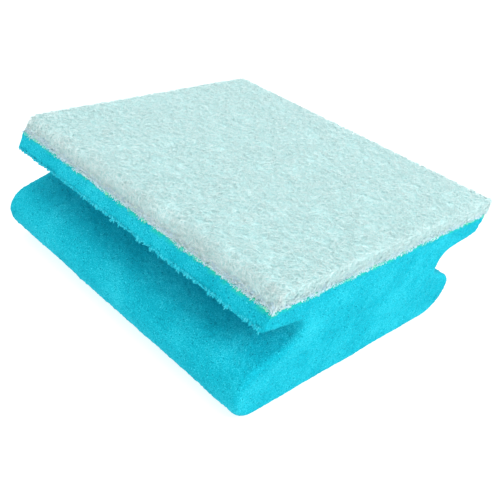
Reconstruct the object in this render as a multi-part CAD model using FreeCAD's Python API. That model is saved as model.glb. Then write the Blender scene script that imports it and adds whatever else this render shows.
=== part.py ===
"""Grip sponge: a foam block with a finger groove along each long side, and a
non-woven scouring pad bonded over its top.

Millimetres. The profile lies in XZ and runs along Y. The origin is the middle of
the flat underside, +Z points up to the scouring pad, and the grooves face +X and -X.
"""

import FreeCAD, Part
import math
import os

# Overall sizes
LENGTH = 100.0  # along Y, the way the profile runs
WIDTH = 95.0  # across X, at the flange and at the lobes
FOAM_HEIGHT = 35.4  # underside to the bonded face
FILM_THICKNESS = 0.3  # hot-melt film between the foam and the pad
PAD_THICKNESS = 5.1

# Finger grooves, one in each long side of the foam
FLANGE_EDGE = 4.9  # upright edge left between the groove and the bonded face
GROOVE_MOUTH = 15.8  # height of the opening, measured at the outer edge
GROOVE_DEPTH = 16.0  # from the outer edge to the neck
GROOVE_RADIUS = 4.2  # both inner corners of the groove
FLANGE_SLOPE = 9.0  # degrees by which the flange's underside falls inwards
LOBE_SLOPE = 22.0  # degrees by which the lobe's top rises inwards

# Lobes below the grooves
SHOULDER_RADIUS = 7.0  # where the lobe's top turns down into its side
FOOT_RADIUS = 9.5  # where its side turns in to the underside

# Scouring pad
PAD_DRAFT = 1.4  # how far each long side leans in over the pad's thickness
PAD_EDGE_RADIUS = 1.8  # worn-looking round along the two long top edges

# Share of a corner's shorter side that its round may take, so two rounds still meet
ROUND_SHARE = 0.98


def vector(point):
    """A point of the XZ profile, put on the front end of the sponge."""
    return FreeCAD.Vector(point[0], -LENGTH / 2, point[1])


def rounded_corner(before, corner, after, radius, room):
    """The arc that replaces a corner, as its start, middle and end points."""
    to_before = (vector(before) - vector(corner)).normalize()
    to_after = (vector(after) - vector(corner)).normalize()
    half_angle = to_before.getAngle(to_after) / 2
    reach = min(radius / math.tan(half_angle), room)
    round_radius = reach * math.tan(half_angle)
    bisector = (to_before + to_after).normalize()
    centre = vector(corner) + bisector * (round_radius / math.sin(half_angle))
    start = vector(corner) + to_before * reach
    end = vector(corner) + to_after * reach
    return start, centre - bisector * round_radius, end


def corner_reach(before, corner, after, radius):
    """How far along its sides a round of this radius starts from the corner."""
    to_before = vector(before) - vector(corner)
    to_after = vector(after) - vector(corner)
    return radius / math.tan(to_before.getAngle(to_after) / 2)


def profile_face(corners):
    """A face from corners given as (x, z, radius), all the way round."""
    count = len(corners)
    points = [(x, z) for x, z, _ in corners]
    radii = [radius for _, _, radius in corners]
    neighbours = [(points[i - 1], points[i], points[(i + 1) % count]) for i in range(count)]
    reaches = [corner_reach(*neighbours[i], radii[i]) if radii[i] else 0.0 for i in range(count)]
    stations = []
    for i in range(count):
        before, corner, after = neighbours[i]
        if not radii[i]:
            stations.append((vector(corner),))
            continue
        room = reaches[i]
        for other, j in ((before, i - 1), (after, (i + 1) % count)):
            side = (vector(other) - vector(corner)).Length
            share = reaches[i] / (reaches[i] + reaches[j])
            room = min(room, side * share * ROUND_SHARE)
        stations.append(rounded_corner(before, corner, after, radii[i], room))
    edges = []
    for i in range(count):
        here, following = stations[i], stations[(i + 1) % count]
        if len(here) == 3:
            edges.append(Part.Arc(*here).toShape())
        edges.append(Part.LineSegment(here[-1], following[0]).toShape())
    return Part.Face(Part.Wire(edges))


def run_along_length(face):
    """The solid that a profile sweeps from the front end to the back end."""
    return face.extrude(FreeCAD.Vector(0, LENGTH, 0))


def mirrored(half):
    """A whole outline from its right half, listed from the top centre downwards."""
    left = [(-x, z, radius) for x, z, radius in reversed(half)]
    return half + left


def foam_body():
    """The foam block: flange, neck between the two grooves, and rounded lobes."""
    edge = WIDTH / 2
    neck = edge - GROOVE_DEPTH
    flange_bottom = FOAM_HEIGHT - FLANGE_EDGE
    lobe_top = flange_bottom - GROOVE_MOUTH
    fall = GROOVE_DEPTH * math.tan(math.radians(FLANGE_SLOPE))
    rise = GROOVE_DEPTH * math.tan(math.radians(LOBE_SLOPE))
    half = [
        (edge, FOAM_HEIGHT, 0),
        (edge, flange_bottom, 0),
        (neck, flange_bottom - fall, GROOVE_RADIUS),
        (neck, lobe_top + rise, GROOVE_RADIUS),
        (edge, lobe_top, SHOULDER_RADIUS),
        (edge, 0, FOOT_RADIUS),
    ]
    return run_along_length(profile_face(mirrored(half)))


def bond_film():
    """The thin film that holds the pad, the full size of the bonded face."""
    corner = FreeCAD.Vector(-WIDTH / 2, -LENGTH / 2, FOAM_HEIGHT)
    return Part.makeBox(WIDTH, LENGTH, FILM_THICKNESS, corner)


def scouring_pad():
    """The non-woven pad, its long sides leaning in to rounded top edges."""
    bottom = FOAM_HEIGHT + FILM_THICKNESS
    top = bottom + PAD_THICKNESS
    half = [
        (WIDTH / 2 - PAD_DRAFT, top, PAD_EDGE_RADIUS),
        (WIDTH / 2, bottom, 0),
    ]
    return run_along_length(profile_face(mirrored(half)))


NODES = {
    "foam_body": foam_body,
    "bond_film": bond_film,
    "scouring_pad": scouring_pad,
}

os.makedirs("parts", exist_ok=True)
for name, make in NODES.items():
    make().exportStep(f"parts/{name}.step")
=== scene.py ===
import math

import bpy
import numpy as np
from mathutils import Matrix, Vector, geometry, noise


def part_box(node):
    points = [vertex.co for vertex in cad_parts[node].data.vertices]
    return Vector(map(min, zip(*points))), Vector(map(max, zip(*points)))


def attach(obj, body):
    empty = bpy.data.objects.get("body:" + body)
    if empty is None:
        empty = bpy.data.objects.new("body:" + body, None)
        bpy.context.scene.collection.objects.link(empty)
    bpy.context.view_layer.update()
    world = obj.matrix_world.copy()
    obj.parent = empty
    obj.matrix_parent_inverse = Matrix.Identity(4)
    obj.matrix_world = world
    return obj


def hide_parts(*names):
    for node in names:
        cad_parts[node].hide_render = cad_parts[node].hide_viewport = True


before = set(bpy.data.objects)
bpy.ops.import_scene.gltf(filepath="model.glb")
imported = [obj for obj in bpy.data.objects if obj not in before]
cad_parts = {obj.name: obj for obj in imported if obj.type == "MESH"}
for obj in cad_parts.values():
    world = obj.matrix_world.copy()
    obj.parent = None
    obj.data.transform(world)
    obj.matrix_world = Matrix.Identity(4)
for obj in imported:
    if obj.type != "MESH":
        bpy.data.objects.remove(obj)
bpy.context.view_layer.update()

MM = 0.001
FLOAT = np.float64

# ---------------------------------------------------------------- sizes, in mm
EDGE, END, FOAM_TOP = np.array(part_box("foam_body")[1]) / MM
PAD_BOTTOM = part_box("scouring_pad")[0][2] / MM
PAD_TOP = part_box("scouring_pad")[1][2] / MM
PAD_THICK = PAD_TOP - PAD_BOTTOM

FLANGE_EDGE = 4.9
FLANGE_BOTTOM = FOAM_TOP - FLANGE_EDGE
GROOVE_DEPTH = 16.0
GROOVE_MOUTH = 15.8
GROOVE_RADIUS = 4.2
FLANGE_SLOPE = math.radians(9)
LOBE_SLOPE = math.radians(22)
# The two sides aren't cut quite the same. Insets and drops say how far a side stands
# inwards and downwards of the true profile, and the rounds of each lobe are its own.
LEFT_SIDE = {
    "joint_inset": 1.0, "flange_drop": 0.0, "neck_drop": 0.0,
    "lobe_drop": -0.9, "lobe_inset": -0.6, "shoulder_radius": 7.4, "foot_radius": 10.0,
}
RIGHT_SIDE = {
    "joint_inset": 0.0, "flange_drop": 1.2, "neck_drop": 1.7,
    "lobe_drop": 2.0, "lobe_inset": 1.7, "shoulder_radius": 5.0, "foot_radius": 8.2,
}

# The pad's left side is pressed soft and round. Its right side and its ends are cut crisp.
LEFT_HALF = EDGE - LEFT_SIDE["joint_inset"]
LEFT_DRAFT = 1.4
LEFT_EDGE_RADIUS = 2.8
RIGHT_DRAFT = 0.5
RIGHT_EDGE_RADIUS = 1.0
END_EDGE_RADIUS = 0.8
PAD_CORNER_RADIUS = 0.9
PAD_SKEW = 1.3

# The soft block isn't cut quite true: it tapers and leans a little, and its far end is
# squashed, with a lower top and a higher left foot. Tapers and leans are plain ratios.
TAPER_ALONG_Y = -0.014
TAPER_ALONG_X = 0.017
LEAN_X = 0.055
LEAN_Y = -0.065
FAR_TOP_DROP = 0.6
FAR_LOBE_LIFT = 2.3
LIFT_FULL_BELOW = 2.0
LIFT_GONE_ABOVE = 18.0
MIDDLE_HEIGHT = PAD_TOP / 2


# ---------------------------------------------------------------- camera
# Places and clipping in metres, lens and sensor in mm.
CAMERA_PLACE = Vector((-0.15941, -0.12419, 0.13097))
CAMERA_HEADING = math.radians(53.40)
CAMERA_DOWN = math.radians(31.00)
CAMERA_ROLL = math.radians(13.28)
CAMERA_LENS = 55.05
CAMERA_SENSOR = 36.0
CAMERA_NEAR = 0.005
CAMERA_FAR = 20.0


def add_camera():
    """The camera, above the front left corner, rolled a little so that its right side is higher."""
    forward = Vector((
        math.sin(CAMERA_HEADING) * math.cos(CAMERA_DOWN),
        math.cos(CAMERA_HEADING) * math.cos(CAMERA_DOWN),
        -math.sin(CAMERA_DOWN),
    ))
    level_right = forward.cross(Vector((0, 0, 1))).normalized()
    level_up = level_right.cross(forward)
    right = level_right * math.cos(CAMERA_ROLL) + level_up * math.sin(CAMERA_ROLL)
    up = level_up * math.cos(CAMERA_ROLL) - level_right * math.sin(CAMERA_ROLL)
    turn = Matrix((right, up, -forward)).transposed().to_4x4()
    data = bpy.data.cameras.new("camera")
    data.lens = CAMERA_LENS
    data.sensor_width = CAMERA_SENSOR
    data.clip_start = CAMERA_NEAR
    data.clip_end = CAMERA_FAR
    camera = bpy.data.objects.new("camera", data)
    bpy.context.scene.collection.objects.link(camera)
    camera.matrix_world = Matrix.Translation(CAMERA_PLACE) @ turn
    bpy.context.scene.camera = camera


# ---------------------------------------------------------------- mesh helpers
MAP_MARGIN = 1.5  # mm of empty map along the edges of each quarter
ROW_SHARE = 0.87  # distance between rows of loose points, for points one step apart
GRID_JITTER = 0.16  # how far a loose point strays, in steps
RIM_CLEARANCE = 0.55  # how close a loose point may come to the outline, in steps
SAME_POINT = 1e-6


def cut_true_to_soft(points):
    """The block's slight taper, lean and squashed far end, on points in mm."""
    out = points.copy()
    far = np.clip((points[:, 1] / END + 1) / 2, 0, 1)
    left = np.clip(-points[:, 0] / EDGE, 0, 1)
    low = 1 - fade(points[:, 2], LIFT_FULL_BELOW, LIFT_GONE_ABOVE)
    out[:, 2] += far * (FAR_LOBE_LIFT * left * low - FAR_TOP_DROP * points[:, 2] / PAD_TOP)
    rise = points[:, 2] - MIDDLE_HEIGHT
    out[:, 0] = points[:, 0] * (1 + TAPER_ALONG_Y * points[:, 1] / END) + LEAN_X * rise
    out[:, 1] = points[:, 1] * (1 + TAPER_ALONG_X * points[:, 0] / EDGE) + LEAN_Y * rise
    return out


def mesh_object(name, points, faces, material, smooth=True):
    """A mesh object from points in mm and a list of faces."""
    mesh = bpy.data.meshes.new(name)
    mesh.from_pydata((cut_true_to_soft(points) * MM).tolist(), [], faces)
    if smooth:
        mesh.shade_smooth()
    else:
        mesh.shade_flat()
    mesh.materials.append(material)
    piece = bpy.data.objects.new(name, mesh)
    bpy.context.scene.collection.objects.link(piece)
    return piece


def skewed(points):
    """The pad's right edge runs a little crooked, wider towards the front end."""
    out = points.copy()
    share = np.clip(points[..., 0] / EDGE, 0, 1)
    out[..., 0] -= PAD_SKEW * share * points[..., 1] / END
    return out


def in_quarter(flat, quarter, width):
    """Flat points in mm as map spots in quarter 0 to 3 of the unit square, each width mm wide."""
    quarter = np.broadcast_to(quarter, len(flat))
    corner = np.stack([quarter % 2, quarter // 2], 1)
    return (corner + (flat + MAP_MARGIN) / width) / 2


def add_bake_map(piece, spots):
    """A map named OFBake for baking the piece's material into, one spot for each face corner."""
    layer = piece.data.uv_layers.new(name="OFBake")
    layer.data.foreach_set("uv", spots.astype(np.float32).ravel())


def noise_at(points, size, seed=0.0):
    """Smooth noise from -1 to 1 with features of about size mm."""
    shift = Vector((seed * 17.3, seed * 5.1, seed * 11.7))
    return np.array([noise.noise(Vector(p) / size + shift) for p in points.tolist()], FLOAT)


def cells_at(points, size):
    """0 on the walls between foam cells of about size mm, up to 1 in their middles."""
    out = np.empty(len(points), FLOAT)
    for i, p in enumerate(points.tolist()):
        distances, _ = noise.voronoi(Vector(p) / size)
        out[i] = distances[1] - distances[0]
    return np.clip(out, 0, 1)


def fade(value, start, end):
    """0 before start, 1 after end, smooth between."""
    t = np.clip((value - start) / (end - start), 0, 1)
    return t * t * (3 - 2 * t)


def straight(start, end, step):
    """Points from start up to end, which is left out."""
    count = max(1, round(np.linalg.norm(end - start) / step))
    share = np.arange(count)[:, None] / count
    return start + (end - start) * share


def rounded_corner(before, corner, after, radius, step):
    """Where a corner's round starts, the points along it, and where it ends."""
    if not radius:
        return corner, np.empty((0, 2)), corner
    back = before - corner
    ahead = after - corner
    back /= np.linalg.norm(back)
    ahead /= np.linalg.norm(ahead)
    half = math.acos(float(np.clip(back @ ahead, -1, 1))) / 2
    turn = math.pi - 2 * half
    reach = radius / math.tan(half)
    inward = (back + ahead) / np.linalg.norm(back + ahead)
    middle = corner + inward * radius / math.sin(half)
    start = corner + back * reach
    end = corner + ahead * reach
    pieces = max(2, round(radius * turn / step))
    share = np.arange(pieces)[:, None] / pieces
    weight_start = np.sin((1 - share) * turn) / math.sin(turn)
    weight_end = np.sin(share * turn) / math.sin(turn)
    arc = middle + (start - middle) * weight_start + (end - middle) * weight_end
    return start, arc, end


def outline_points(corners, step, coarse_step=None, coarse_height=None):
    """A closed outline from (x, z, radius) corners, with points about step apart.

    A side that lies at coarse_height doesn't show, so its points are coarse_step apart.
    """
    spots = [np.array(corner[:2], FLOAT) for corner in corners]
    count = len(spots)
    rounds = [
        rounded_corner(spots[i - 1], spots[i], spots[(i + 1) % count], corners[i][2], step)
        for i in range(count)
    ]
    points = []
    for i, (_, arc, end) in enumerate(rounds):
        following = (i + 1) % count
        level = spots[i][1] == coarse_height and spots[following][1] == coarse_height
        points.append(arc)
        points.append(straight(end, rounds[following][0], coarse_step if level else step))
    return np.concatenate(points)


def outward(outline):
    """The outward normal at each point of a closed outline, whichever way it runs."""
    following = np.roll(outline, -1, axis=0)
    along = following - np.roll(outline, 1, axis=0)
    normal = np.column_stack([-along[:, 1], along[:, 0]])
    normal /= np.linalg.norm(normal, axis=1)[:, None]
    area = np.sum(outline[:, 0] * following[:, 1] - outline[:, 1] * following[:, 0])
    return -normal if area > 0 else normal


def jittered_grid(low, high, step, rng):
    """Loose points about step apart over the rectangle from low to high."""
    across = np.arange(low[0], high[0], step)
    upward = np.arange(low[1], high[1], step * ROW_SHARE)
    grid = np.array([
        (x + (row % 2) * step / 2, z)
        for row, z in enumerate(upward)
        for x in across
    ])
    return grid + rng.uniform(-GRID_JITTER, GRID_JITTER, grid.shape) * step


def well_inside(grid, outline, clearance):
    """The points that lie inside a closed outline and not too near it."""
    inside = np.zeros(len(grid), bool)
    near = np.full(len(grid), np.inf)
    for a, b in zip(outline, np.roll(outline, -1, axis=0)):
        crosses = (a[1] > grid[:, 1]) != (b[1] > grid[:, 1])
        if a[1] != b[1]:
            at = a[0] + (grid[:, 1] - a[1]) / (b[1] - a[1]) * (b[0] - a[0])
            inside ^= crosses & (grid[:, 0] < at)
        side = b - a
        share = np.clip(((grid - a) @ side) / (side @ side), 0, 1)
        near = np.minimum(near, np.linalg.norm(grid - a - share[:, None] * side, axis=1))
    return grid[inside & (near > clearance)]


def fill_outline(outline, step, rng):
    """Triangles over a closed outline, with loose points about step apart inside it.

    Gives the inner points, and triangles that count the outline's points first.
    """
    grid = jittered_grid(outline.min(0), outline.max(0), step, rng)
    inner = well_inside(grid, outline, step * RIM_CLEARANCE)
    flat = [Vector(p) for p in np.concatenate([outline, inner]).tolist()]
    count = len(outline)
    loop = [(i, (i + 1) % count) for i in range(count)]
    found = geometry.delaunay_2d_cdt(flat, loop, [], 1, SAME_POINT)
    triangles, origins = found[2], found[3]
    index = [origin[0] for origin in origins]
    return inner, [tuple(index[v] for v in triangle) for triangle in triangles]


def renumbered(triangles, count, rim, inner):
    """Triangles from fill_outline, for a rim and inner points that start at these numbers."""
    return [
        tuple(rim + v if v < count else inner + v - count for v in triangle)
        for triangle in triangles
    ]


def ring_faces(rings, count, along_first):
    """Quads between rings of count points, each starting along its ring or towards the next."""
    faces = []
    for ring in range(rings - 1):
        for i in range(count):
            here = ring * count + i
            beside = ring * count + (i + 1) % count
            if along_first:
                faces.append((here, beside, beside + count, here + count))
            else:
                faces.append((here, here + count, beside + count, beside))
    return faces


def facing(points, triangles, direction):
    """The triangles, turned so that they face the direction."""
    corner = points[np.array(triangles)]
    normal = np.cross(corner[:, 1] - corner[:, 0], corner[:, 2] - corner[:, 0])
    flip = normal @ np.array(direction, FLOAT) < 0
    return [t[::-1] if f else t for t, f in zip(triangles, flip)]


# ---------------------------------------------------------------- materials
STAIN_DEPTH = 1.7  # mm below the joint that the glue soaks in
STAIN_COLOUR = (0.02, 0.50, 0.34, 1.0)

# Colours of the fibres and of the torn foam, from their darkest to their palest
PAD_FIBRES = [
    (0.32, (0.50, 0.77, 0.78)),
    (0.50, (0.66, 0.865, 0.86)),
    (0.68, (0.81, 0.92, 0.915)),
]
# Painted shade: a bluer copy of the pad's fibre colours for the loose fringe, for the cast of its shaded,
# hanging ends.
FRINGE_SHADE_CAST = [
    (0.30, (0.47, 0.68, 0.80)),
    (0.50, (0.64, 0.84, 0.94)),
    (0.70, (0.84, 0.97, 0.99)),
]
GLUED_FIBRES = [
    (0.30, (0.40, 0.86, 0.72)),
    (0.50, (0.60, 0.90, 0.70)),
    (0.70, (0.80, 0.95, 0.88)),
]
# Painted light: the torn foam is paler than the foam block, as if light shone through its thin tips.
TORN_FOAM_PAINTED_LIGHT = [
    (0.30, (0.004, 0.47, 0.61)),
    (0.50, (0.02, 0.58, 0.71)),
    (0.70, (0.09, 0.74, 0.86)),
]


def new_material(name):
    """An empty node material with its shader: (material, nodes, links, shader)."""
    material = bpy.data.materials.new(name)
    material.use_nodes = True
    nodes, links = material.node_tree.nodes, material.node_tree.links
    return material, nodes, links, nodes["Principled BSDF"]


def noise_node(nodes, links, where, size, detail=2.0):
    """A noise texture whose features are about size mm."""
    node = nodes.new("ShaderNodeTexNoise")
    node.inputs["Scale"].default_value = 1 / (size * MM)
    node.inputs["Detail"].default_value = detail
    links.new(where, node.inputs["Vector"])
    return node.outputs["Fac"]


def cell_node(nodes, links, where, size):
    """For cells of about size mm: distance from the nearest middle, and each cell's own number."""
    node = nodes.new("ShaderNodeTexVoronoi")
    node.inputs["Scale"].default_value = 1 / (size * MM)
    links.new(where, node.inputs["Vector"])
    return node.outputs["Distance"], node.outputs["Color"]


def math_node(nodes, links, operation, first, second):
    """The result of one operation; each side is an output or a number."""
    node = nodes.new("ShaderNodeMath")
    node.operation = operation
    for socket, value in zip(node.inputs, (first, second)):
        if isinstance(value, (int, float)):
            socket.default_value = value
        else:
            links.new(value, socket)
    return node.outputs["Value"]


def ramp_node(nodes, links, value, stops):
    """Colour from a value, with stops given as (position, colour)."""
    node = nodes.new("ShaderNodeValToRGB")
    ramp = node.color_ramp
    while len(ramp.elements) < len(stops):
        ramp.elements.new(0.5)
    for element, (position, colour) in zip(ramp.elements, stops):
        element.position = position
        element.color = (*colour, 1.0)
    links.new(value, node.inputs["Fac"])
    return node.outputs["Color"]


def bump_node(nodes, links, height, depth, strength):
    """A normal from a height whose full range is depth mm."""
    node = nodes.new("ShaderNodeBump")
    node.inputs["Strength"].default_value = strength
    node.inputs["Distance"].default_value = depth * MM
    links.new(height, node.inputs["Height"])
    return node.outputs["Normal"]


def object_coordinates(nodes):
    """Places on the piece itself, in metres."""
    return nodes.new("ShaderNodeTexCoord").outputs["Object"]


def stained(nodes, links, where, colour):
    """The foam's colour, turned green in patches where the glue has soaked in."""
    split = nodes.new("ShaderNodeSeparateXYZ")
    links.new(where, split.inputs["Vector"])
    depth = nodes.new("ShaderNodeMapRange")
    depth.inputs["From Min"].default_value = (FOAM_TOP - STAIN_DEPTH) * MM
    depth.inputs["From Max"].default_value = FOAM_TOP * MM
    links.new(split.outputs["Z"], depth.inputs["Value"])
    patches = nodes.new("ShaderNodeMapRange")
    patches.inputs["From Min"].default_value = 0.38
    patches.inputs["From Max"].default_value = 0.56
    links.new(noise_node(nodes, links, where, 2.2, 3.0), patches.inputs["Value"])
    amount = math_node(
        nodes, links, "MULTIPLY", depth.outputs["Result"], patches.outputs["Result"]
    )
    mix = nodes.new("ShaderNodeMixRGB")
    links.new(amount, mix.inputs["Fac"])
    links.new(colour, mix.inputs["Color1"])
    mix.inputs["Color2"].default_value = STAIN_COLOUR
    return mix.outputs["Color"]


def foam_tone(nodes, links, where, grain):
    """How light the foam is: grain and soft patches, less painted shade in the middles of open cells."""
    cells, cell_number = cell_node(nodes, links, where, 0.48)
    # Painted shade: the middles of some cells are darkened, as shade in open pits.
    shaded_open_cell = math_node(nodes, links, "LESS_THAN", cell_number, 0.22)
    painted_pit_shade = math_node(nodes, links, "SUBTRACT", 0.55, cells)
    painted_pit_shade = math_node(nodes, links, "MULTIPLY", painted_pit_shade, shaded_open_cell)
    painted_pit_shade = math_node(nodes, links, "MULTIPLY", painted_pit_shade, 0.6)
    patches = noise_node(nodes, links, where, 9.0)
    patches = math_node(nodes, links, "MULTIPLY", patches, 0.25)
    tone = math_node(nodes, links, "MULTIPLY", grain, 0.75)
    tone = math_node(nodes, links, "ADD", tone, patches)
    return math_node(nodes, links, "SUBTRACT", tone, painted_pit_shade)


def foam_material():
    """Cyan open-cell foam: fine cells with painted shade in their middles, and soft patches."""
    material, nodes, links, shader = new_material("cyan_foam")
    where = object_coordinates(nodes)
    grain = noise_node(nodes, links, where, 0.30, 3.0)
    tone = foam_tone(nodes, links, where, grain)
    colour = ramp_node(nodes, links, tone, [
        (0.18, (0.0003, 0.19, 0.27)),
        (0.50, (0.004, 0.42, 0.54)),
        (0.76, (0.050, 0.65, 0.77)),
    ])
    links.new(stained(nodes, links, where, colour), shader.inputs["Base Color"])
    roughness = nodes.new("ShaderNodeMapRange")
    roughness.inputs["To Min"].default_value = 0.70
    roughness.inputs["To Max"].default_value = 0.95
    links.new(grain, roughness.inputs["Value"])
    links.new(roughness.outputs["Result"], shader.inputs["Roughness"])
    links.new(bump_node(nodes, links, tone, 0.30, 0.40), shader.inputs["Normal"])
    shader.inputs["Specular IOR Level"].default_value = 0.05
    shader.inputs["Subsurface Weight"].default_value = 0.12
    shader.inputs["Subsurface Radius"].default_value = (0.4, 1.0, 1.2)
    shader.inputs["Subsurface Scale"].default_value = 1.2 * MM
    return material


def mat_material():
    """The pale aqua body of the pad, seen between its fibres."""
    material, nodes, links, shader = new_material("aqua_mat")
    where = object_coordinates(nodes)
    clumps = noise_node(nodes, links, where, 1.6, 4.0)
    fine = noise_node(nodes, links, where, 0.3, 2.0)
    both = math_node(nodes, links, "ADD", clumps, fine)
    tone = math_node(nodes, links, "MULTIPLY", both, 0.5)
    colour = ramp_node(nodes, links, tone, [
        (0.30, (0.50, 0.78, 0.79)),
        (0.52, (0.62, 0.85, 0.85)),
        (0.75, (0.72, 0.89, 0.89)),
    ])
    links.new(colour, shader.inputs["Base Color"])
    links.new(bump_node(nodes, links, tone, 0.5, 0.5), shader.inputs["Normal"])
    shader.inputs["Roughness"].default_value = 0.85
    shader.inputs["Specular IOR Level"].default_value = 0.2
    return material


def fibre_material(name, stops):
    """Bonded fibres, speckled with binder, each toned by a value on its points: its own random tone, and
    in the pad's layers also painted shade and painted light.
    """
    material, nodes, links, shader = new_material(name)
    tint_and_painted_light = nodes.new("ShaderNodeAttribute")
    tint_and_painted_light.attribute_name = "tint_and_painted_light"
    where = object_coordinates(nodes)
    blotch = noise_node(nodes, links, where, 2.5)
    blotch = math_node(nodes, links, "MULTIPLY", blotch, 0.10)
    speckle = noise_node(nodes, links, where, 0.38)
    speckle = math_node(nodes, links, "MULTIPLY", speckle, 0.65)
    own = math_node(nodes, links, "MULTIPLY", tint_and_painted_light.outputs["Fac"], 0.25)
    tone = math_node(nodes, links, "ADD", own, math_node(nodes, links, "ADD", blotch, speckle))
    links.new(ramp_node(nodes, links, tone, stops), shader.inputs["Base Color"])
    shader.inputs["Roughness"].default_value = 0.75
    shader.inputs["Specular IOR Level"].default_value = 0.08
    return material


def glue_material():
    """Hot-melt adhesive, yellow-green where it is thick."""
    material, nodes, links, shader = new_material("hot_melt_glue")
    where = object_coordinates(nodes)
    colour = ramp_node(nodes, links, noise_node(nodes, links, where, 1.8, 3.0), [
        (0.35, (0.01, 0.42, 0.44)),
        (0.55, (0.05, 0.55, 0.40)),
        (0.75, (0.28, 0.70, 0.38)),
    ])
    links.new(colour, shader.inputs["Base Color"])
    lumps = noise_node(nodes, links, where, 0.5)
    links.new(bump_node(nodes, links, lumps, 0.2, 0.4), shader.inputs["Normal"])
    shader.inputs["Roughness"].default_value = 0.35
    return material


def floor_material():
    """A pale studio table, near white and evenly lit."""
    material, nodes, links, shader = new_material("pale_floor")
    colour = ramp_node(nodes, links, noise_node(nodes, links, object_coordinates(nodes), 40.0), [
        (0.3, (0.44, 0.44, 0.44)),
        (0.7, (0.48, 0.48, 0.48)),
    ])
    links.new(colour, shader.inputs["Base Color"])
    shader.inputs["Roughness"].default_value = 0.9
    shader.inputs["Specular IOR Level"].default_value = 0.1
    shader.inputs["Emission Color"].default_value = (1.0, 1.0, 1.0, 1.0)
    shader.inputs["Emission Strength"].default_value = FLOOR_GLOW
    return material


# ---------------------------------------------------------------- foam block
FOAM_STEP = 0.57  # mm between points
HIDDEN_STEP = 2.0  # the same, under the pad
EXTRA_RINGS = (0.06, 0.25)  # mm from each end
LOBE_END_ROUND = 1.7
FLANGE_END_ROUND = 0.35
LOBE_ROUND_TOP = 24.0  # the ends are rounded like the lobes up to here
FLANGE_ROUND_BOTTOM = 29.0  # and like the flange from here
CAP_LEAN = 0.8  # how much the rims of the ends move along Y with their relief
CAP_MAP_GAP = 2  # mm between the two ends on the map

# Relief: sizes, depths and heights in mm, and shares of the points
WAVE_SIZE, WAVE_DEPTH = 13.0, 0.30
RIPPLE_SIZE, RIPPLE_DEPTH = 3.0, 0.16
CELL_SIZE, CELL_DEPTH = 1.1, 0.12
GRIT_DEPTH = 0.045
OPEN_CELL_SHARE, OPEN_CELL_DEPTH = 0.07, 0.32
TORN_WALL_SHARE, TORN_WALL_HEIGHT = 0.05, 0.16

# Raggedness of the flange's lower edge and of the ends, in mm. The far end was cut cleanly.
LIP_RAGGED = 0.10
END_RAGGED = 0.04
LIP_TORN = 0.22
RAGGED_FROM_FAR = (15.0, 45.0)
TORN_FROM_FAR = (18.0, 50.0)


def side_corners(side):
    """One side of the foam's outline, from its top to its foot."""
    neck = EDGE - GROOVE_DEPTH
    flange_bottom = FLANGE_BOTTOM - side["flange_drop"]
    lobe_top = FLANGE_BOTTOM - GROOVE_MOUTH
    lobe_neck = lobe_top + GROOVE_DEPTH * math.tan(LOBE_SLOPE) - side["neck_drop"]
    return [
        (EDGE - side["joint_inset"], FOAM_TOP, 0),
        (EDGE, flange_bottom, 0),
        (neck, flange_bottom - GROOVE_DEPTH * math.tan(FLANGE_SLOPE), GROOVE_RADIUS),
        (neck, lobe_neck, GROOVE_RADIUS),
        (EDGE - side["lobe_inset"], lobe_top - side["lobe_drop"], side["shoulder_radius"]),
        (EDGE, 0, side["foot_radius"]),
    ]


def foam_corners():
    """The foam's outline in XZ, clockwise from the top of its right side."""
    left = [(-x, z, radius) for x, z, radius in reversed(side_corners(LEFT_SIDE))]
    return side_corners(RIGHT_SIDE) + left


def foam_relief(points, rng):
    """How far the cut foam stands out from its true surface, in mm."""
    waves = WAVE_DEPTH * noise_at(points, WAVE_SIZE, 1)
    ripple = RIPPLE_DEPTH * noise_at(points, RIPPLE_SIZE, 2)
    cells = -CELL_DEPTH * cells_at(points, CELL_SIZE)
    grit = rng.normal(0, GRIT_DEPTH, len(points))
    chance = rng.random(len(points))
    holes = -OPEN_CELL_DEPTH * (chance < OPEN_CELL_SHARE)
    walls = TORN_WALL_HEIGHT * (chance > 1 - TORN_WALL_SHARE)
    return waves + ripple + cells + grit + holes + walls


def end_inset(from_end, height):
    """How far the outline stands in near an end, where the lobes are worn rounder than the flange."""
    like_lobe = 1 - fade(height, LOBE_ROUND_TOP, FLANGE_ROUND_BOTTOM)
    radius = FLANGE_END_ROUND + (LOBE_END_ROUND - FLANGE_END_ROUND) * like_lobe
    radius = radius * (1 - fade(height, FOAM_TOP - 1.5, FOAM_TOP - 0.1))
    over = np.clip(radius - from_end, 0, None)
    return radius - np.sqrt(np.maximum(radius**2 - over**2, 0))


def wall_quarter(outline):
    """The width in mm of a quarter of the foam's map: room for a third of its way round, or its length."""
    around = np.linalg.norm(np.roll(outline, -1, axis=0) - outline, axis=1).sum()
    return max(around / 3, 2 * END) + 2 * MAP_MARGIN + 1


def wall_spots(outline, stations):
    """Map spots for the foam's walls, unrolled and cut into three."""
    steps = np.linalg.norm(np.roll(outline, -1, axis=0) - outline, axis=1)
    reach = np.concatenate([[0], np.cumsum(steps)])
    third = np.minimum((reach[:-1] / reach[-1] * 3).astype(int), 2)
    around = np.stack([reach[:-1], reach[1:], reach[1:], reach[:-1]], 1)
    around -= (third * reach[-1] / 3)[:, None]
    along = np.stack([stations[:-1], stations[:-1], stations[1:], stations[1:]], 1) + END
    shape = (len(along), len(around), 4)
    flat = np.stack([
        np.broadcast_to(around[None], shape),
        np.broadcast_to(along[:, None], shape),
    ], -1)
    quarter = np.broadcast_to(third[None, :, None], shape)
    return in_quarter(flat.reshape(-1, 2), quarter.reshape(-1), wall_quarter(outline))


def foam_stations():
    """Where the outline is repeated along Y."""
    stations = np.linspace(-END, END, round(2 * END / FOAM_STEP) + 1)
    near_end = END - np.array(EXTRA_RINGS)
    return np.sort(np.concatenate([stations, -near_end, near_end]))


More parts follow.
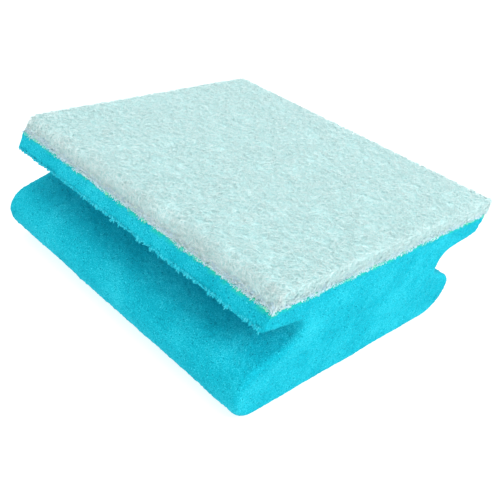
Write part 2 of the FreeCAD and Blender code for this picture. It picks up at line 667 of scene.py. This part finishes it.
def foam_walls(outline, stations):
    """Points of the walls, ring by ring, and the direction of the relief at each."""
    normal = outward(outline)
    points = np.empty((len(stations), len(outline), 3))
    points[:, :, 0] = outline[:, 0]
    points[:, :, 1] = stations[:, None]
    points[:, :, 2] = outline[:, 1]
    away = np.zeros(points.shape)
    away[:, :, 0] = normal[:, 0]
    away[:, :, 2] = normal[:, 1]
    away[0, :, 1] = -CAP_LEAN
    away[-1, :, 1] = CAP_LEAN
    for ring, station in enumerate(stations):
        inset = end_inset(END - abs(station), outline[:, 1])
        points[ring][:, 0] -= inset * normal[:, 0]
        points[ring][:, 2] -= inset * normal[:, 1]
    return points, away


def roughened(points, away, rng):
    """The foam's points with their relief, the ragged edges and the torn lip of the flange."""
    from_lip = np.hypot(np.abs(points[:, 0]) - EDGE, points[:, 2] - FLANGE_BOTTOM)
    from_end = END - np.abs(points[:, 1])
    relief = foam_relief(points, rng)
    relief *= 1 - fade(points[:, 2], FOAM_TOP - 0.9, FOAM_TOP - 0.2)
    lip = 1 - fade(from_lip, 0.2, 0.9)
    ragged = LIP_RAGGED * lip * fade(END - points[:, 1], *RAGGED_FROM_FAR)
    ragged += END_RAGGED * (1 - fade(from_end, 0.2, 0.9))
    relief += ragged * rng.normal(0, 1, len(points))
    points = points + away * relief[:, None]
    on_lip = (np.abs(points[:, 0]) > EDGE - 1.2) & (np.abs(points[:, 2] - FLANGE_BOTTOM) < 0.6)
    torn = fade(from_end, 0.3, 2.0) * fade(END - points[:, 1], *TORN_FROM_FAR)
    points[:, 2] += on_lip * torn * rng.normal(0, LIP_TORN, len(points))
    points[:, 2] = np.clip(points[:, 2], 0.0, FOAM_TOP)
    return points


def foam_block(material):
    """The foam block: a fine mesh of the cut profile, rough with cells."""
    rng = np.random.default_rng(11)
    outline = outline_points(foam_corners(), FOAM_STEP, HIDDEN_STEP, FOAM_TOP)
    stations = foam_stations()
    rings, count = len(stations), len(outline)
    spots = [wall_spots(outline, stations)]
    points, away = foam_walls(outline, stations)
    end_outline = points[0][:, [0, 2]].copy()
    points, away = points.reshape(-1, 3), away.reshape(-1, 3)
    faces = ring_faces(rings, count, along_first=True)
    inner, triangles = fill_outline(end_outline, FOAM_STEP, rng)
    for side, ring in ((-1, 0), (1, rings - 1)):
        index = renumbered(triangles, count, ring * count, len(points))
        cap = np.column_stack([inner[:, 0], np.full(len(inner), side * END), inner[:, 1]])
        points = np.concatenate([points, cap])
        away = np.concatenate([away, np.tile([0.0, side, 0.0], (len(inner), 1))])
        index = facing(points, index, (0, side, 0))
        faces += index
        corner = (EDGE, (FOAM_TOP + CAP_MAP_GAP) * (side + 1) / 2)
        flat = points[np.array(index)][:, :, [0, 2]] + corner
        spots.append(in_quarter(flat.reshape(-1, 2), 3, wall_quarter(outline)))
    piece = mesh_object("foam_block", roughened(points, away, rng), faces, material)
    add_bake_map(piece, np.concatenate(spots))
    return piece


# ---------------------------------------------------------------- scouring pad
MAT_STEP = 0.8  # mm between points
MAT_SIDE_RINGS = 5
MAT_EDGE_ANGLES = (18, 35, 50, 63, 74, 83)  # degrees round the top edge
MAT_DEPTH = 0.80  # how far the mat lies below the tips of the fibres
STRIP_STRETCH = 1.3  # how much taller the mat's side is on the map, for its rounded edge
STRIP_PITCH = 2  # from one strip on the map to the next, in thicknesses of the pad


def rounded_in(height, radius):
    """How far a rounded top edge stands in at a height above the pad's bottom."""
    over = max(height - (PAD_THICK - radius), 0)
    return radius - math.sqrt(radius**2 - over**2)


def pad_outline(step):
    """The pad's outline in XY at its bottom."""
    corners = [
        (EDGE, END, PAD_CORNER_RADIUS),
        (EDGE, -END, PAD_CORNER_RADIUS),
        (-LEFT_HALF, -END, PAD_CORNER_RADIUS),
        (-LEFT_HALF, END, PAD_CORNER_RADIUS),
    ]
    return outline_points(corners, step)


def pad_outline_at(base, height):
    """The pad's outline at a height above its bottom, from its outline at the bottom."""
    rise = height / PAD_THICK
    left = LEFT_DRAFT * rise + rounded_in(height, LEFT_EDGE_RADIUS)
    right = RIGHT_DRAFT * rise + rounded_in(height, RIGHT_EDGE_RADIUS)
    return base * np.column_stack([
        np.where(base[:, 0] < 0, 1 - left / LEFT_HALF, 1 - right / EDGE),
        np.full(len(base), 1 - rounded_in(height, END_EDGE_RADIUS) / END),
    ])


def mat_spots(base, rings, top_faces, points):
    """Map spots for the mat: its sides in four strips, then its top and its bottom."""
    steps = np.linalg.norm(np.roll(base, -1, axis=0) - base, axis=1)
    reach = np.concatenate([[0], np.cumsum(steps)])
    strip = np.minimum((reach[:-1] / reach[-1] * 4).astype(int), 3)
    around = np.stack([reach[:-1], reach[:-1], reach[1:], reach[1:]], 1)
    around -= (strip * reach[-1] / 4)[:, None]
    level = np.arange(rings) * PAD_THICK * STRIP_STRETCH / (rings - 1)
    up = np.stack([level[:-1], level[1:], level[1:], level[:-1]], 1)
    shape = (len(up), len(around), 4)
    flat = np.stack([
        np.broadcast_to(around[None], shape),
        up[:, None] + (strip * PAD_THICK * STRIP_PITCH)[None, :, None],
    ], -1)
    width = 2 * END + 2 * MAP_MARGIN + 1
    top = points[np.array(top_faces)][:, :, :2].reshape(-1, 2) + (EDGE, END)
    return np.concatenate([
        in_quarter(flat.reshape(-1, 2), 2, width),
        in_quarter(top, 0, width),
        in_quarter(base + (EDGE, END), 1, width),
    ])


def mat_sides(base):
    """Points of the mat's sides, loop by loop from its bottom, and the direction of their relief."""
    count = len(base)
    shoulder = PAD_THICK - LEFT_EDGE_RADIUS
    heights = np.concatenate([
        np.linspace(0, shoulder, MAT_SIDE_RINGS),
        shoulder + LEFT_EDGE_RADIUS * np.sin(np.radians(MAT_EDGE_ANGLES)),
    ])
    loops = [
        np.column_stack([pad_outline_at(base, height), np.full(count, PAD_BOTTOM + height)])
        for height in heights
    ]
    over = np.clip((heights - shoulder) / LEFT_EDGE_RADIUS, 0, 1)
    level = outward(base)
    away = np.concatenate([
        np.column_stack([level * math.sqrt(1 - rise * rise), np.full(count, rise)])
        for rise in over
    ])
    return loops, away


def pad_mat(material):
    """The pad's dense body, lumpy and ragged, under the loose fibres."""
    rng = np.random.default_rng(23)
    base = pad_outline(MAT_STEP)
    count = len(base)
    loops, away = mat_sides(base)
    points = np.concatenate(loops)
    faces = ring_faces(len(loops), count, along_first=False)
    inner, triangles = fill_outline(loops[-1][:, :2], MAT_STEP, rng)
    index = renumbered(triangles, count, (len(loops) - 1) * count, len(points))
    points = np.concatenate([points, np.column_stack([inner, np.full(len(inner), PAD_TOP)])])
    away = np.concatenate([away, np.tile([0.0, 0.0, 1.0], (len(inner), 1))])
    index = facing(points, index, (0, 0, 1))
    spots = mat_spots(base, len(loops), index, points)
    faces += index
    faces.append(tuple(range(count)))
    relief = -MAT_DEPTH + 0.10 * noise_at(points, 6.0, 5) + 0.14 * noise_at(points, 1.3, 6)
    relief += rng.normal(0, 0.05, len(points))
    relief[points[:, 2] <= PAD_BOTTOM] -= 0.1
    points += away * relief[:, None]
    piece = mesh_object("pad_mat", skewed(points), faces, material)
    add_bake_map(piece, spots)
    return piece


# ---------------------------------------------------------------- fibres
TUBE_SIDES = 3
TIP_SHARE = 0.55  # how thick a fibre's two ends are, against its middle

# The tangle of the pad. Lengths are in mm, heights from the pad's true surface.
FIBRE_PIECES = 8
FIBRES_PER_PIECE = 7500
FIBRE_POINTS = 5
FIBRE_LENGTH = (1.0, 2.8)
FIBRE_RADIUS = (0.045, 0.075)
FIBRE_BEND = 1.3
FIBRE_HEIGHT = (-0.60, 0.05)
FIBRE_SWELL = (0.03, 0.22)
FIBRE_END_DIP = 0.2
FIBRE_OVERHANG = 0.5
LEFT_SIDE_PAINTED_LIGHT = 0.4  # painted light: how much paler the fibres on the pad's left side are made

# The loose ends over the joint
FRINGE_POINTS = 4
FRINGE_RISE = 1.4
FRINGE_RADIUS = (0.05, 0.09)
FRINGE_OUT = (0.75, 1.25)
FRINGE_DROP = (0.1, 1.0)
FRINGE_SLIDE = 0.7

# The torn foam under the flange, which the far end hasn't got
FRAYS = 2200
FRAY_POINTS = 3
FRAY_RADIUS = (0.12, 0.24)
FRAY_DROP = (0.45, 1.15)
FRAYS_FROM_FAR = (18.0, 60.0)


def over_edge(distance, radius, turn):
    """Outward, downward and normal for a distance walked past the start of a rounded edge."""
    angle = np.clip(distance / radius, 0, turn)
    beyond = np.maximum(distance - radius * turn, 0)
    out = np.where(distance < 0, distance, radius * np.sin(angle) + beyond * np.cos(turn))
    down = np.where(distance < 0, 0, radius * (1 - np.cos(angle)) + beyond * np.sin(turn))
    return out, down, np.sin(angle), np.cos(angle)


def unfolded_edge(half, draft, radius):
    """Where a side's round starts on the unfolded pad, its turn, and where the side ends."""
    turn = math.pi / 2 - math.atan(draft / PAD_THICK)
    start = half - draft - radius * math.tan(turn / 2)
    below = PAD_THICK - radius * (1 - math.cos(turn))
    return start, turn, start + radius * turn + below / math.sin(turn)


def on_pad(u, v, height):
    """Points on the pad's top and sides from unfolded coordinates, and their normals."""
    left_start, left_turn, _ = unfolded_edge(LEFT_HALF, LEFT_DRAFT, LEFT_EDGE_RADIUS)
    right_start, right_turn, _ = unfolded_edge(EDGE, RIGHT_DRAFT, RIGHT_EDGE_RADIUS)
    start_y, turn_y, _ = unfolded_edge(END, 0.0, END_EDGE_RADIUS)
    left = u < 0
    start_x = np.where(left, left_start, right_start)
    turn_x = np.where(left, left_turn, right_turn)
    radius_x = np.where(left, LEFT_EDGE_RADIUS, RIGHT_EDGE_RADIUS)
    out_x, down_x, side_x, up_x = over_edge(np.abs(u) - start_x, radius_x, turn_x)
    out_y, down_y, side_y, up_y = over_edge(np.abs(v) - start_y, END_EDGE_RADIUS, turn_y)
    normal = np.stack([np.sign(u) * side_x, np.sign(v) * side_y, np.minimum(up_x, up_y)], -1)
    normal /= np.linalg.norm(normal, axis=-1, keepdims=True)
    points = np.stack([
        np.sign(u) * (start_x + out_x),
        np.sign(v) * (start_y + out_y),
        PAD_TOP - down_x - down_y,
    ], -1)
    return points + normal * height[..., None], normal


def tube_faces(fibres, steps):
    """The faces of closed tubes, each of so many rings of points."""
    faces = []
    for fibre in range(fibres):
        base = fibre * steps * TUBE_SIDES
        for step in range(steps - 1):
            for k in range(TUBE_SIDES):
                a = base + step * TUBE_SIDES + k
                b = base + step * TUBE_SIDES + (k + 1) % TUBE_SIDES
                faces.append((a, b, b + TUBE_SIDES, a + TUBE_SIDES))
        last = base + (steps - 1) * TUBE_SIDES
        faces.append(tuple(base + k for k in reversed(range(TUBE_SIDES))))
        faces.append(tuple(last + k for k in range(TUBE_SIDES)))
    return faces


def tubes(paths, radii, normals):
    """Closed three-sided tubes along paths: (points, faces)."""
    fibres, steps, _ = paths.shape
    along = np.gradient(paths, axis=1)
    along /= np.linalg.norm(along, axis=2, keepdims=True) + 1e-12
    side = np.cross(along, normals)
    side /= np.linalg.norm(side, axis=2, keepdims=True) + 1e-12
    over = np.cross(side, along)
    ring = np.arange(TUBE_SIDES) * 2 * math.pi / TUBE_SIDES + math.pi / 2
    thin = np.ones(steps)
    thin[[0, -1]] = TIP_SHARE
    size = radii[:, None, None, None] * thin[None, :, None, None]
    points = paths[:, :, None, :] + size * (
        np.cos(ring)[None, None, :, None] * side[:, :, None, :]
        + np.sin(ring)[None, None, :, None] * over[:, :, None, :]
    )
    return points.reshape(-1, 3), tube_faces(fibres, steps)


def add_tints(piece, tints, steps):
    """Each fibre's tone value, on its points: its own random tone, and in the pad's layers also painted
    shade and painted light.
    """
    attribute = piece.data.attributes.new("tint_and_painted_light", "FLOAT", "POINT")
    attribute.data.foreach_set("value", np.repeat(tints, steps * TUBE_SIDES).astype(np.float32))


def add_fibre_map(piece, fibres, steps):
    """A UV map in which every fibre has a small cell of its own."""
    across = math.ceil(math.sqrt(fibres))
    mesh = piece.data
    corners = np.empty(len(mesh.loops), np.int32)
    mesh.loops.foreach_get("vertex_index", corners)
    fibre, rest = np.divmod(corners, steps * TUBE_SIDES)
    step, side = np.divmod(rest, TUBE_SIDES)
    row, column = np.divmod(fibre, across)
    u = (column + 0.15 + 0.7 * side / TUBE_SIDES) / across
    v = (row + 0.10 + 0.8 * step / (steps - 1)) / across
    add_bake_map(piece, np.column_stack([u, v]))


def wandering(rng, count, length, bend, steps):
    """Flat curled paths: offsets from each one's middle, (count, steps) for u and v."""
    heading = rng.uniform(0, 2 * math.pi, count)
    curl = rng.normal(0, bend, count)
    wobble = np.cumsum(rng.normal(0, bend * 0.5, (count, steps)), axis=1)
    share = np.linspace(-0.5, 0.5, steps)
    angle = heading[:, None] + curl[:, None] * share + wobble
    stride = length[:, None] / (steps - 1)
    u = np.cumsum(np.cos(angle) * stride, axis=1)
    v = np.cumsum(np.sin(angle) * stride, axis=1)
    return u - u.mean(1, keepdims=True), v - v.mean(1, keepdims=True)


def turned_back(value, low, high):
    """Values that run past a limit are folded back inside it."""
    value = np.where(value > high, 2 * high - value, value)
    return np.where(value < low, 2 * low - value, value)


def fibre_places(rng, reaches):
    """Middles of the fibres of one layer, on the unfolded pad."""
    left_reach, right_reach, end_reach = reaches
    u = rng.uniform(-left_reach, right_reach, FIBRES_PER_PIECE * 2)
    v = rng.uniform(-end_reach, end_reach, FIBRES_PER_PIECE * 2)
    on_side = on_pad(u, v, np.zeros(len(u)))[0][:, 2] > PAD_BOTTOM - 0.2
    return u[on_side][:FIBRES_PER_PIECE], v[on_side][:FIBRES_PER_PIECE]


def fibre_layer(name, seed, material):
    """One tangle of the pad's fibres, over its top and down its sides."""
    rng = np.random.default_rng(seed)
    left_reach = unfolded_edge(LEFT_HALF, LEFT_DRAFT, LEFT_EDGE_RADIUS)[2]
    right_reach = unfolded_edge(EDGE, RIGHT_DRAFT, RIGHT_EDGE_RADIUS)[2]
    end_reach = unfolded_edge(END, 0.0, END_EDGE_RADIUS)[2]
    u, v = fibre_places(rng, (left_reach, right_reach, end_reach))
    count = len(u)
    length = rng.uniform(*FIBRE_LENGTH, count)
    du, dv = wandering(rng, count, length, FIBRE_BEND, FIBRE_POINTS)
    u, v = u[:, None] + du, v[:, None] + dv
    past = rng.uniform(0.0, FIBRE_OVERHANG, (2, count, 1))
    u = turned_back(u, -left_reach - past[0], right_reach + past[0])
    v = turned_back(v, -end_reach - past[1], end_reach + past[1])
    depth = rng.uniform(*FIBRE_HEIGHT, count)[:, None]
    swell = rng.uniform(*FIBRE_SWELL, count)[:, None]
    share = np.linspace(0, math.pi, FIBRE_POINTS)
    height = depth + swell * np.sin(share + rng.uniform(0, math.pi, count)[:, None])
    height[:, [0, -1]] -= FIBRE_END_DIP
    paths, normals = on_pad(u, v, height)
    paths[..., 2] = turned_back(paths[..., 2], PAD_BOTTOM - 0.5, PAD_TOP + 1)
    points, faces = tubes(skewed(paths), rng.uniform(*FIBRE_RADIUS, count), normals)
    piece = mesh_object(name, points, faces, material)
    # Painted shade: fibres that lie deeper in the tangle are darker, on top of each fibre's random tone.
    tint_and_painted_light = np.clip(0.5 + 0.4 * (depth[:, 0] + 0.3) + rng.normal(0, 0.24, count), 0, 1)
    # Painted light: the fibres on the pad's left side are lightened.
    tint_and_painted_light += LEFT_SIDE_PAINTED_LIGHT * fade(-u.mean(1), LEFT_HALF - 3.5, LEFT_HALF - 1.0)
    add_tints(piece, tint_and_painted_light, FIBRE_POINTS)
    add_fibre_map(piece, count, FIBRE_POINTS)
    return piece


def fringe_roots(rng, count):
    """Where the fringe's fibres start round the pad, and each one's outward and sideways direction."""
    along = rng.uniform(0, 4, count)
    side = along.astype(int)
    spot = (along - side) * 2 - 1
    tangent = np.array([(0, 1, 0), (1, 0, 0), (0, 1, 0), (1, 0, 0)], FLOAT)[side]
    outer = np.array([(1, 0, 0), (0, 1, 0), (-1, 0, 0), (0, -1, 0)], FLOAT)[side]
    half = np.array([EDGE, END, LEFT_HALF, END])[side]
    other = np.array([END, EDGE, END, EDGE])[side]
    rise = FRINGE_RISE * rng.random(count) ** 2
    start = outer * (half - 0.8 - 0.45 * rise)[:, None] + tangent * (spot * (other - 0.4))[:, None]
    start[:, 0] = np.maximum(start[:, 0], -LEFT_HALF + 0.4)
    start[:, 2] = PAD_BOTTOM + rise
    return start, outer, tangent


def fringe(name, seed, count, material, reach):
    """Short fibre ends that hang out over the joint, all the way round the pad."""
    rng = np.random.default_rng(seed)
    start, outer, tangent = fringe_roots(rng, count)
    share = np.linspace(0, 1, FRINGE_POINTS)[None, :, None]
    tuft = 0.55 + 1.1 * np.clip(noise_at(start, 1.9, 12), -0.5, 0.6)
    drop = (rng.uniform(*FRINGE_DROP, count) * tuft)[:, None, None] * reach
    out = rng.uniform(*FRINGE_OUT, count)[:, None, None]
    slide = rng.normal(0, FRINGE_SLIDE, count)[:, None, None]
    paths = skewed(
        start[:, None, :]
        + outer[:, None, :] * out * np.sin(share * math.pi / 2)
        + tangent[:, None, :] * slide * share
        - np.array([0, 0, 1.0]) * drop * share**1.5
    )
    normals = np.broadcast_to(outer[:, None, :], paths.shape)
    points, faces = tubes(paths, rng.uniform(*FRINGE_RADIUS, count), normals)
    piece = mesh_object(name, points, faces, material)
    add_tints(piece, rng.uniform(0, 1, count), FRINGE_POINTS)
    add_fibre_map(piece, count, FRINGE_POINTS)
    return piece


def foam_frays(material):
    """Torn cell walls that hang from the cut edges of the flange."""
    rng = np.random.default_rng(61)
    side = np.where(rng.random(FRAYS) < 0.5, -1.0, 1.0)
    start = np.empty((FRAYS, 3))
    start[:, 0] = side * EDGE
    start[:, 1] = rng.uniform(1.0 - END, END - 1.0, FRAYS)
    start[:, 2] = FLANGE_BOTTOM + rng.uniform(0.0, 0.6, FRAYS)
    push = np.zeros((FRAYS, 3))
    push[:, 0] = side * rng.uniform(0.0, 0.35, FRAYS)
    push[:, 1] = rng.normal(0, 0.3, FRAYS)
    tuft = np.clip(0.35 + 1.8 * noise_at(start, 1.3, 14), 0.0, 1.2)
    tuft *= fade(END - start[:, 1], *FRAYS_FROM_FAR)
    push[:, 2] = -rng.uniform(*FRAY_DROP, FRAYS) * tuft
    start -= push * 0.3
    share = np.linspace(0, 1, FRAY_POINTS)[None, :, None]
    sway = rng.normal(0, 0.15, (FRAYS, 1, 3)) * share**2
    paths = start[:, None, :] + push[:, None, :] * share * 1.3 + sway
    normals = np.zeros(paths.shape)
    normals[:, :, 0] = side[:, None]
    normals[:, :, 1] = 0.3
    points, faces = tubes(paths, rng.uniform(*FRAY_RADIUS, FRAYS), normals)
    piece = mesh_object("foam_frays", points, faces, material)
    add_tints(piece, rng.uniform(0, 1, FRAYS), FRAY_POINTS)
    add_fibre_map(piece, FRAYS, FRAY_POINTS)
    return piece


# ---------------------------------------------------------------- bond film
GLUE_STEP = 0.45  # mm between points round the joint
GLUE_WIDTH = 3.0  # how far the film reaches in from the joint's edge
GLUE_GAP = 0.01  # between the film and its neighbours
GLUE_SAG = 0.50


def glue_web(material):
    """The thin film of glue, ragged where it squeezes out of the joint."""
    rng = np.random.default_rng(41)
    base = pad_outline(GLUE_STEP)
    count = len(base)
    normal = outward(base)
    place = np.column_stack([base, np.zeros(count)])
    squeeze = 0.50 * noise_at(place, 1.6, 8) + 0.40 * noise_at(place, 0.7, 9)
    squeeze += rng.normal(0, 0.10, count)
    rim = base + normal * np.clip(squeeze, -0.5, 0.45)[:, None]
    inner = base - normal * GLUE_WIDTH
    low = FOAM_TOP + GLUE_GAP
    high = PAD_BOTTOM - GLUE_GAP
    sag = GLUE_SAG * fade(squeeze, 0.0, 0.5)
    rows = [
        np.column_stack([inner, np.full(count, low)]),
        np.column_stack([rim, low - sag]),
        np.column_stack([rim, np.full(count, high)]),
        np.column_stack([inner, np.full(count, high)]),
    ]
    faces = ring_faces(len(rows), count, along_first=False)
    faces.append(tuple(reversed(range(count))))
    faces.append(tuple(range(3 * count, 4 * count)))
    return mesh_object("glue_web", np.concatenate(rows), faces, material, smooth=False)


# ---------------------------------------------------------------- floor and light
# Places and sizes in metres, powers in watts.
FLOOR_HALF = 3.0
FLOOR_GLOW = 0.74
WORLD_STRENGTH = 1.0
LIGHTS_AIM = Vector((0, 0, 0.02))
KEY_PLACE, KEY_SIZE, KEY_POWER = (0.16, -0.58, 0.54), 0.35, 3.2
TOP_PLACE, TOP_SIZE, TOP_POWER = (-0.36, 0.05, 0.72), 0.50, 1.5


def add_floor():
    """The table that the sponge rests on."""
    mesh = bpy.data.meshes.new("floor")
    corners = [
        (-FLOOR_HALF, -FLOOR_HALF, 0),
        (FLOOR_HALF, -FLOOR_HALF, 0),
        (FLOOR_HALF, FLOOR_HALF, 0),
        (-FLOOR_HALF, FLOOR_HALF, 0),
    ]
    mesh.from_pydata(corners, [], [(0, 1, 2, 3)])
    mesh.materials.append(floor_material())
    floor = bpy.data.objects.new("floor", mesh)
    bpy.context.scene.collection.objects.link(floor)


def add_area_light(name, place, size, power):
    """A soft light that points at the middle of the sponge."""
    data = bpy.data.lights.new(name, "AREA")
    data.shape = "DISK"
    data.size = size
    data.energy = power
    light = bpy.data.objects.new(name, data)
    bpy.context.scene.collection.objects.link(light)
    light.location = place
    aim = LIGHTS_AIM - Vector(place)
    light.rotation_euler = aim.to_track_quat("-Z", "Y").to_euler()


def add_lights():
    """An evenly white studio, with a key light in front and a softer one at the upper left."""
    world = bpy.data.worlds.new("studio")
    bpy.context.scene.world = world
    world.use_nodes = True
    background = world.node_tree.nodes["Background"]
    background.inputs["Color"].default_value = (1, 1, 1, 1)
    background.inputs["Strength"].default_value = WORLD_STRENGTH
    add_area_light("key", KEY_PLACE, KEY_SIZE, KEY_POWER)
    add_area_light("top", TOP_PLACE, TOP_SIZE, TOP_POWER)


# ---------------------------------------------------------------- the scene
def build_foam():
    """The foam block and the torn edges of its flange."""
    foam = foam_block(foam_material())
    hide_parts("foam_body")
    frays = foam_frays(fibre_material("torn_foam_painted_light", TORN_FOAM_PAINTED_LIGHT))
    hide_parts("foam_body")
    return [foam, frays]


def build_film():
    """The glue between foam and pad."""
    film = glue_web(glue_material())
    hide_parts("bond_film")
    return [film]


def build_pad():
    """The mat, the tangle of fibres over it, and the two fringes over the joint."""
    mat = pad_mat(mat_material())
    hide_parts("scouring_pad")
    fibres = fibre_material("pad_fibres", PAD_FIBRES)
    loose = fibre_material("loose_fibres_shade_cast", FRINGE_SHADE_CAST)
    glued = fibre_material("glued_fibres", GLUED_FIBRES)
    layers = [
        fibre_layer(f"pad_fibres_{i + 1}", 100 + i, fibres)
        for i in range(FIBRE_PIECES)
    ]
    layers.append(fringe("pad_fringe", seed=201, count=7600, material=loose, reach=1.1))
    layers.append(fringe("glued_fringe", seed=202, count=600, material=glued, reach=1.2))
    for layer in layers:
        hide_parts("scouring_pad")
    return [mat] + layers


def main():
    """The whole scene: camera, floor, light and the sponge's pieces."""
    bpy.context.scene.view_settings.view_transform = "Standard"
    add_camera()
    add_floor()
    add_lights()
    for piece in build_foam() + build_film() + build_pad():
        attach(piece, "root")


main()
